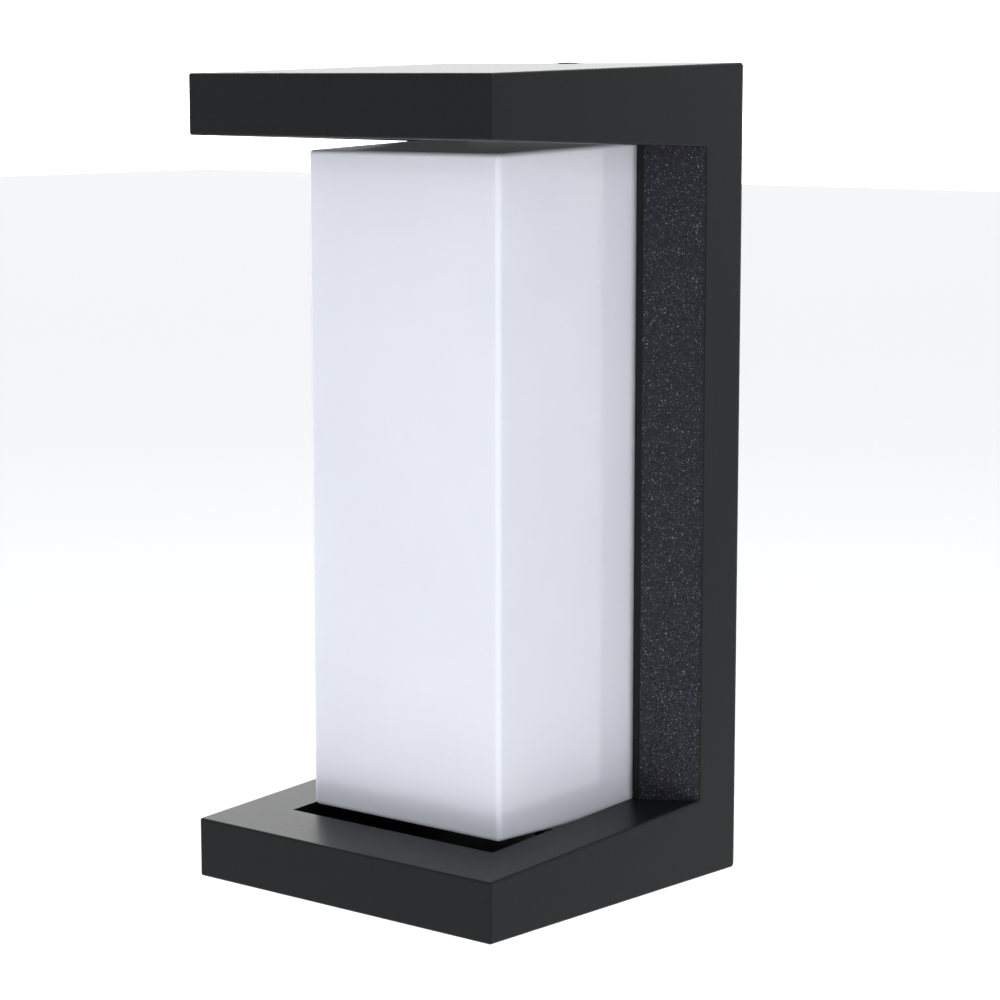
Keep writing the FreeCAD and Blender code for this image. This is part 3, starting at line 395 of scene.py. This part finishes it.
# %% Rolled, galvanised and plated sheet
rolled, net, shader, place = new_finish("rolled_aluminium_sheet", "#C3C5C7", 0.32, metallic=1.0)
stretch = add_node(net, "ShaderNodeMapping", {"Vector": place, "Scale": (1.0, 1.0, 0.03)})
lines = add_node(net, "ShaderNodeTexNoise", {"Vector": stretch.outputs[0], "Scale": per_grain(0.4),
                                             "Detail": 3.0})
drift_colour(net, shader, lines.outputs["Fac"], "#B4B7BA", "#CFD1D2")
drift_roughness(net, shader, lines.outputs["Fac"], 0.24, 0.42)
raise_surface(net, shader, lines.outputs["Fac"], 0.01)
finish_node(rolled, "led_tray")

galvanised, net, shader, place = new_finish("galvanised_sheet", "#9EA4A8", 0.4, metallic=1.0)
warp = add_node(net, "ShaderNodeTexNoise", {"Vector": place, "Scale": per_grain(6), "Detail": 2.0})
bent = add_node(net, "ShaderNodeMix", {"Factor": 0.004, "A": place, "B": warp.outputs["Color"]},
                data_type="VECTOR")
flowers = add_node(net, "ShaderNodeTexVoronoi", {"Vector": bent.outputs["Result"], "Scale": per_grain(9)})
tone = add_node(net, "ShaderNodeSeparateColor", {"Color": flowers.outputs["Color"]})
drift_colour(net, shader, tone.outputs["Red"], "#8B9196", "#B3B8BB")
drift_roughness(net, shader, tone.outputs["Green"], 0.32, 0.5)
finish_node(galvanised, "back_plate")

plated, net, shader, place = new_finish("zinc_plated_steel", "#B7BBC0", 0.3, metallic=1.0)
haze = add_node(net, "ShaderNodeTexNoise", {"Vector": place, "Scale": per_grain(5), "Detail": 3.0})
pits = add_node(net, "ShaderNodeTexNoise", {"Vector": place, "Scale": per_grain(0.3), "Detail": 2.0})
drift_colour(net, shader, haze.outputs["Fac"], "#A9AEB6", "#C3C4BE")
drift_roughness(net, shader, haze.outputs["Fac"], 0.24, 0.4)
raise_surface(net, shader, pits.outputs["Fac"], 0.008)
finish_node(plated, "wall_bracket", "lug_nuts", "earth_washer", "earth_screw", "clamp_screws")

# %% [markdown]
# ### The lamp's board and its plastics
#
# The board has a white mask over its copper, so the tracks show as long low ridges. The driver's
# case is moulded with a spark-eroded grain, the terminal block is natural polyamide, which lets a
# little light in, and the push-in connector is plain white and a little glossier.

# %% Board, driver, terminals, connector and nylon
mask, net, shader, place = new_finish("white_solder_mask", "#E9ECEC", 0.32)
tracks = add_node(net, "ShaderNodeTexWave", {"Vector": place, "Scale": per_grain(22), "Distortion": 0.0},
                  wave_type="BANDS", bands_direction="X", wave_profile="SIN")
edges = add_node(net, "ShaderNodeMapRange",
                 {"Value": tracks.outputs["Fac"], "From Min": 0.45, "From Max": 0.55})
drift_colour(net, shader, edges.outputs[0], "#E3E7E7", "#F0F1EF")
raise_surface(net, shader, edges.outputs[0], 0.05)
finish_node(mask, "led_board")

PLASTICS = {
    "spark_eroded_driver_plastic": ("#DDDFDE", "#E6E7E4", 0.55, 0.25, 0.04, ("driver_case", "driver_lid")),
    "natural_polyamide": ("#D3D0BF", "#DEDBCB", 0.42, 1.2, 0.02, ("terminal_block",)),
    "white_connector_plastic": ("#E6E6E1", "#EFEEE9", 0.34, 2.0, 0.01, ("led_connector",)),
    "pale_nylon": ("#CFCDC4", "#DAD8D0", 0.48, 0.8, 0.02, ("top_screw_washer", "bottom_screw_washer")),
}
for name, (dark, pale, roughness, grain_size, depth, wearers) in PLASTICS.items():
    plastic, net, shader, place = new_finish(name, pale, roughness, subsurface_weight=0.3,
                                             subsurface_scale=0.6 * MM)
    grain = add_node(net, "ShaderNodeTexNoise", {"Vector": place, "Scale": per_grain(grain_size),
                                                 "Detail": 3.0})
    drift_colour(net, shader, grain.outputs["Fac"], dark, pale)
    drift_roughness(net, shader, grain.outputs["Fac"], roughness - 0.06, roughness + 0.08)
    raise_surface(net, shader, grain.outputs["Fac"], depth)
    finish_node(plastic, *wearers)

# %% [markdown]
# ### Brass, tin and blackened steel
#
# The clamps are sawn brass, the earth ring is copper with a tin coat, and the two locking screws
# are blackened so that they don't shine in the black casting.

# %% Brass, tin and blackened steel
METALS = {
    "sawn_brass": ("#B08A3C", "#C9A552", 0.34, 0.5, 0.02),
    "tinned_copper": ("#BDBBB5", "#D2D0CA", 0.30, 2.5, 0.01),
    "blackened_steel": ("#121212", "#1E1E1F", 0.34, 0.6, 0.01),
}
metal = {}
for name, (dark, pale, roughness, grain_size, depth) in METALS.items():
    metal[name], net, shader, place = new_finish(name, pale, roughness, metallic=1.0)
    grain = add_node(net, "ShaderNodeTexNoise", {"Vector": place, "Scale": per_grain(grain_size),
                                                 "Detail": 3.0})
    drift_colour(net, shader, grain.outputs["Fac"], dark, pale)
    drift_roughness(net, shader, grain.outputs["Fac"], roughness - 0.08, roughness + 0.1)
    raise_surface(net, shader, grain.outputs["Fac"], depth)
finish_node(metal["sawn_brass"], "terminal_clamps")
finish_node(metal["tinned_copper"], "earth_ring")

# %% [markdown]
# ### Wires
#
# The wires have smooth soft insulation with faint draw marks. Their colours follow the wiring
# rules: brown and blue for the supply, green with yellow for the earth, red and black for the lamp.

# %% Insulation
WIRES = {
    "brown_insulation": ("#4E2A16", "#5B331C", "live_lead"),
    "blue_insulation": ("#1C4E9C", "#245AAD", "neutral_lead"),
    "green_and_yellow_insulation": ("#1F7A34", "#E3CF2B", "earth_lead"),
    "red_insulation": ("#A3201B", "#B32A24", "led_positive_lead"),
    "black_insulation": ("#101011", "#1A1A1B", "led_negative_lead"),
}
for name, (dark, pale, lead) in WIRES.items():
    jacket, net, shader, place = new_finish(name, pale, 0.38, ior=1.53)
    ripple = add_node(net, "ShaderNodeTexNoise", {"Vector": place, "Scale": per_grain(1.2), "Detail": 2.0})
    tone = ripple.outputs["Fac"]
    if lead == "earth_lead":
        twist = add_node(net, "ShaderNodeTexWave",
                         {"Vector": place, "Scale": per_grain(30), "Distortion": 0.0},
                         wave_type="BANDS", bands_direction="DIAGONAL")
        tone = add_node(net, "ShaderNodeMapRange",
                        {"Value": twist.outputs["Fac"], "From Min": 0.62, "From Max": 0.66}).outputs[0]
    drift_colour(net, shader, tone, dark, pale)
    drift_roughness(net, shader, ripple.outputs["Fac"], 0.3, 0.46)
    raise_surface(net, shader, ripple.outputs["Fac"], 0.02)
    finish_node(jacket, lead)

# %% [markdown]
# ## Screws with threads
#
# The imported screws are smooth, so new ones take their places. A screw is turned from its half
# section: a domed pan head, a shank with rolled threads, and a short point. Then a cross recess is
# cut into its head. It is made once, along -Z from the seat of its head at the origin.

# %% Turning a screw
STEPS_ROUND = 40


def turned(name, section):
    """Turn a half section of (radius, height) pairs in millimetres, from pole to pole."""
    shell = bmesh.new()
    rings = []
    for radius, height in section:
        if radius == 0:
            rings.append([shell.verts.new((0, 0, height * MM))] * STEPS_ROUND)
        else:
            rings.append([shell.verts.new((radius * MM * math.cos(turn * math.tau / STEPS_ROUND),
                                           radius * MM * math.sin(turn * math.tau / STEPS_ROUND),
                                           height * MM))
                          for turn in range(STEPS_ROUND)])
    for upper, lower in zip(rings, rings[1:]):
        for turn in range(STEPS_ROUND):
            after = (turn + 1) % STEPS_ROUND
            corners = [upper[turn], lower[turn], lower[after], upper[after]]
            shell.faces.new(sorted(set(corners), key=corners.index))
    bmesh.ops.recalc_face_normals(shell, faces=shell.faces)
    body = bpy.data.meshes.new(name)
    shell.to_mesh(body)
    shell.free()
    return body


def cross_cutter(reach, half, top, floor):
    """A closed tapered cross, in millimetres, for cutting a recess."""
    shell = bmesh.new()
    layers = []
    for height, shrink in ((top, 1.0), (floor, 0.55)):
        long, wide = reach * shrink, half * (0.6 + 0.4 * shrink)
        outline = [(long, -wide), (long, wide), (wide, wide), (wide, long),
                   (-wide, long), (-wide, wide), (-long, wide), (-long, -wide),
                   (-wide, -wide), (-wide, -long), (wide, -long), (wide, -wide)]
        layers.append([shell.verts.new((x * MM, y * MM, height * MM)) for x, y in outline])
    upper, lower = layers
    count = len(upper)
    shell.faces.new(upper)
    shell.faces.new(list(reversed(lower)))
    for corner in range(count):
        after = (corner + 1) % count
        shell.faces.new((upper[corner], lower[corner], lower[after], upper[after]))
    bmesh.ops.recalc_face_normals(shell, faces=shell.faces)
    body = bpy.data.meshes.new("cross_cutter")
    shell.to_mesh(body)
    shell.free()
    return body


def pan_screw(name, head, head_high, shank, length, pitch):
    """A pan-head screw with a cross recess, as a plain mesh."""
    crown = [(head * part, head_high * (0.80 + 0.20 * math.sqrt(1 - part ** 2)))
             for part in (0.25, 0.5, 0.7, 0.85, 0.93)]
    section = [(0, head_high)] + crown
    section += [(head, head_high * 0.62), (head, 0.12), (head - 0.12, 0), (shank, 0)]
    level = -0.5
    while level > -(length - 0.9):
        section += [(shank, level), (shank - 0.28 * pitch / 0.5, level - pitch * 0.5)]
        level -= pitch
    section += [(shank - 0.35, -(length - 0.5)), (shank - 0.8, -length), (0, -length)]
    solid = bpy.data.objects.new(name, turned(name, section))
    cutter = bpy.data.objects.new("cutter", cross_cutter(head * 0.52, head * 0.13, head_high + 0.2,
                                                         head_high * 0.35))
    for item in (solid, cutter):
        scene.collection.objects.link(item)
    carve = solid.modifiers.new("recess", "BOOLEAN")
    carve.operation = "DIFFERENCE"
    carve.object = cutter
    carve.solver = "EXACT"
    body = bpy.data.meshes.new_from_object(solid.evaluated_get(bpy.context.evaluated_depsgraph_get()))
    body.name = name
    for item in (solid, cutter):
        bpy.data.objects.remove(item)
    body.set_sharp_from_angle(angle=math.radians(32))
    return body


HEAD_HIGH = 2.0
HEAD_RADIUS = 2.75
SHANK_RADIUS = 1.5
PITCH = 0.5
small_length = {"tray_screws": 10, "back_plate_screws": 6, "board_screws": 5, "driver_screws": 5,
                "terminal_screws": 5}
lengths = sorted(set(small_length.values()))
print("Small screws: M3, %.1f mm heads, %s mm long" % (2 * HEAD_RADIUS, lengths))

# %% [markdown]
# ## Rows of equal pieces
#
# Screws and lamp packages stand in grids, so one tree of Geometry Nodes places them all. A grid of
# points stands upright, a copy of the piece goes on each, and each screw stops at its own angle, as
# screws do. The copies become real geometry and take their finish, so what is left is a plain mesh.

# %% The tree that makes rows
rows = bpy.data.node_groups.new("rows", "GeometryNodeTree")
for name, kind in (("Geometry", "Geometry"), ("Piece", "Object"), ("Finish", "Material"),
                   ("Across", "Int"), ("Up", "Int"), ("Width", "Float"), ("Height", "Float"),
                   ("Middle", "Vector"), ("Lean", "Vector"), ("Largest turn", "Float"), ("Seed", "Int")):
    rows.interface.new_socket(name, in_out="INPUT", socket_type="NodeSocket" + kind)
rows.interface.new_socket("Geometry", in_out="OUTPUT", socket_type="NodeSocketGeometry")
given = rows.nodes.new("NodeGroupInput").outputs
grid = add_node(rows, "GeometryNodeMeshGrid", {"Size X": given["Width"], "Size Y": given["Height"],
                                               "Vertices X": given["Across"], "Vertices Y": given["Up"]})
upright = add_node(rows, "GeometryNodeTransform",
                   {"Geometry": grid.outputs["Mesh"], "Rotation": (math.radians(90), 0, 0),
                    "Translation": given["Middle"]})
part = add_node(rows, "GeometryNodeObjectInfo", {"Object": given["Piece"]})
angle = add_node(rows, "FunctionNodeRandomValue", {"Max": given["Largest turn"], "Seed": given["Seed"]},
                 data_type="FLOAT")
spin = add_node(rows, "ShaderNodeCombineXYZ", {"Z": angle.outputs[1]})
spun = add_node(rows, "FunctionNodeEulerToRotation", {0: spin.outputs[0]})
leaned = add_node(rows, "FunctionNodeEulerToRotation", {0: given["Lean"]})
turned_and_leaned = add_node(rows, "FunctionNodeRotateRotation",
                             {0: spun.outputs[0], 1: leaned.outputs[0]})
placed = add_node(rows, "GeometryNodeInstanceOnPoints",
                  {"Points": upright.outputs["Geometry"], "Instance": part.outputs["Geometry"],
                   "Rotation": turned_and_leaned.outputs[0]})
real = add_node(rows, "GeometryNodeRealizeInstances", {"Geometry": placed.outputs["Instances"]})
dressed = add_node(rows, "GeometryNodeSetMaterial", {"Geometry": real.outputs["Geometry"],
                                                     "Material": given["Finish"]})
add_node(rows, "NodeGroupOutput", {"Geometry": dressed.outputs["Geometry"]})


def row_of(name, piece, **wanted):
    """Run the tree once and keep its result as a plain mesh at the origin."""
    holder = bpy.data.objects.new(name, bpy.data.meshes.new(name))
    source = bpy.data.objects.new("source", piece)
    for item in (holder, source):
        scene.collection.objects.link(item)
    maker = holder.modifiers.new("rows", "NODES")
    maker.node_group = rows
    for socket in rows.interface.items_tree:
        word = socket.name.lower().replace(" ", "_")
        if socket.in_out == "INPUT" and word in wanted:
            maker[socket.identifier] = wanted[word]
        elif socket.in_out == "INPUT" and word == "piece":
            maker[socket.identifier] = source
    holder.update_tag()
    bpy.context.view_layer.update()
    mesh = bpy.data.meshes.new_from_object(holder.evaluated_get(bpy.context.evaluated_depsgraph_get()))
    mesh.name = name
    holder.modifiers.clear()
    holder.data = mesh
    bpy.data.objects.remove(source)
    return holder


TO_FRONT = (math.radians(90), 0.0, 0.0)
TO_WALL = (math.radians(-90), 0.0, 0.0)

# %% [markdown]
# ### The small screws
#
# Each group of packed screws gives the grid's width, height and middle by its own box. Screws
# driven from the front point to the wall, and the others point to the front.

# %% Small screws in their places
GROUPS = {
    "tray_screws": (2, 3, TO_WALL),
    "back_plate_screws": (2, 3, TO_WALL),
    "board_screws": (2, 2, TO_FRONT),
    "driver_screws": (2, 1, TO_WALL),
    "terminal_screws": (2, 1, TO_WALL),
}
for seed, (name, (across_count, up_count, lean)) in enumerate(GROUPS.items()):
    low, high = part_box(name)
    middle = (low + high) / 2
    long = small_length[name]
    from_front = lean == TO_FRONT
    seat = low.y + HEAD_HIGH * MM if from_front else high.y - HEAD_HIGH * MM
    group = row_of(name + "_threaded", pan_screw(name, HEAD_RADIUS, HEAD_HIGH, SHANK_RADIUS, long, PITCH),
                   finish=plated, across=across_count, up=up_count,
                   width=high.x - low.x - 2 * HEAD_RADIUS * MM,
                   height=high.z - low.z - 2 * HEAD_RADIUS * MM,
                   middle=(middle.x, seat, middle.z), lean=lean, largest_turn=math.tau, seed=seed)
    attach(group, "lantern")
    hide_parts(name)
    print("%s: %d x %d" % (group.name, across_count, up_count))

# %% [markdown]
# ### The lamp packages
#
# Forty light-emitting diodes stand in two columns. Each is a white cup with rounded corners and a
# disc of yellow phosphor in it, so the tree runs twice, once for the cups and once for the discs.

# %% Cups and phosphor
def package(name, half_x, half_z, thick, corner):
    """A small rounded block standing on its origin, in millimetres."""
    shell = bmesh.new()
    bmesh.ops.create_cube(shell, size=1.0)
    for vert in shell.verts:
        vert.co = Vector((vert.co.x * 2 * half_x, vert.co.y * 2 * half_z, (vert.co.z + 0.5) * thick)) * MM
    uprights = [edge for edge in shell.edges
                if abs(edge.verts[0].co.z - edge.verts[1].co.z) > thick * MM / 2]
    bmesh.ops.bevel(shell, geom=uprights, offset=corner * MM, segments=5, affect="EDGES", profile=0.5)
    body = bpy.data.meshes.new(name)
    shell.to_mesh(body)
    shell.free()
    return body


cup, net, shader, place = new_finish("white_epoxy_cup", "#EEEDE8", 0.4, subsurface_weight=0.2,
                                     subsurface_scale=0.3 * MM)
speck = add_node(net, "ShaderNodeTexNoise", {"Vector": place, "Scale": per_grain(0.4), "Detail": 2.0})
drift_colour(net, shader, speck.outputs["Fac"], "#E6E5DF", "#F3F2EE")
phosphor, net, shader, place = new_finish("yellow_phosphor", "#E4C13A", 0.3, subsurface_weight=0.5,
                                          subsurface_scale=0.4 * MM)
speck = add_node(net, "ShaderNodeTexNoise", {"Vector": place, "Scale": per_grain(0.25), "Detail": 3.0})
drift_colour(net, shader, speck.outputs["Fac"], "#D9B12C", "#ECCB4B")

low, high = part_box("led_chips")
middle = (low + high) / 2
CHIP_HALF = (1.4, 1.75)
CHIPS_ACROSS = 2
CHIPS_UP = 20
SUNK = 0.1
grid_size = {"width": high.x - low.x - 2 * CHIP_HALF[0] * MM, "across": CHIPS_ACROSS,
             "height": high.z - low.z - 2 * CHIP_HALF[1] * MM, "up": CHIPS_UP,
             "lean": TO_FRONT, "largest_turn": 0.0, "seed": 0}
cup_high = (high.y - low.y) / MM - SUNK
cups = row_of("led_cups", package("cup", CHIP_HALF[0], CHIP_HALF[1], cup_high, 0.35), finish=cup,
              middle=(middle.x, high.y, middle.z), **grid_size)
discs = row_of("led_phosphor", package("disc", 1.05, 1.35, 0.08, 0.9), finish=phosphor,
               middle=(middle.x, high.y - cup_high * MM, middle.z), **grid_size)
for piece in (cups, discs):
    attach(piece, "lantern")
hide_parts("led_chips")
print("Lamp packages: %d" % (CHIPS_ACROSS * CHIPS_UP))

# %% [markdown]
# ### The locking screws
#
# Two M4 screws lock the lantern to its bracket. They are the only pieces that turn, so each is a
# mesh of its own that rides on its own body.

# %% Locking screws
LOCK_LENGTH = 10.0
LOCK_HEAD_RADIUS = 4.0
LOCK_HEAD_HIGH = 2.6
LOCK_SHANK_RADIUS = 2.0
LOCK_PITCH = 0.7
for end, body_name, flip in (("top", "top_screw", 1), ("bottom", "bottom_screw", -1)):
    low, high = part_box(end + "_lock_screw")
    seat = low.z + LOCK_LENGTH * MM if flip > 0 else high.z - LOCK_LENGTH * MM
    mesh = pan_screw(end + "_locking_screw", LOCK_HEAD_RADIUS, LOCK_HEAD_HIGH, LOCK_SHANK_RADIUS,
                     LOCK_LENGTH, LOCK_PITCH)
    if flip < 0:
        mesh.transform(Matrix.Rotation(math.pi, 4, "X"))
    mesh.transform(Matrix.Translation(((low.x + high.x) / 2, (low.y + high.y) / 2, seat)))
    mesh.materials.append(metal["blackened_steel"])
    screw = bpy.data.objects.new(end + "_locking_screw", mesh)
    scene.collection.objects.link(screw)
    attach(screw, body_name)
    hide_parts(end + "_lock_screw")
    print("%s: seat at %.1f mm" % (screw.name, seat / MM))
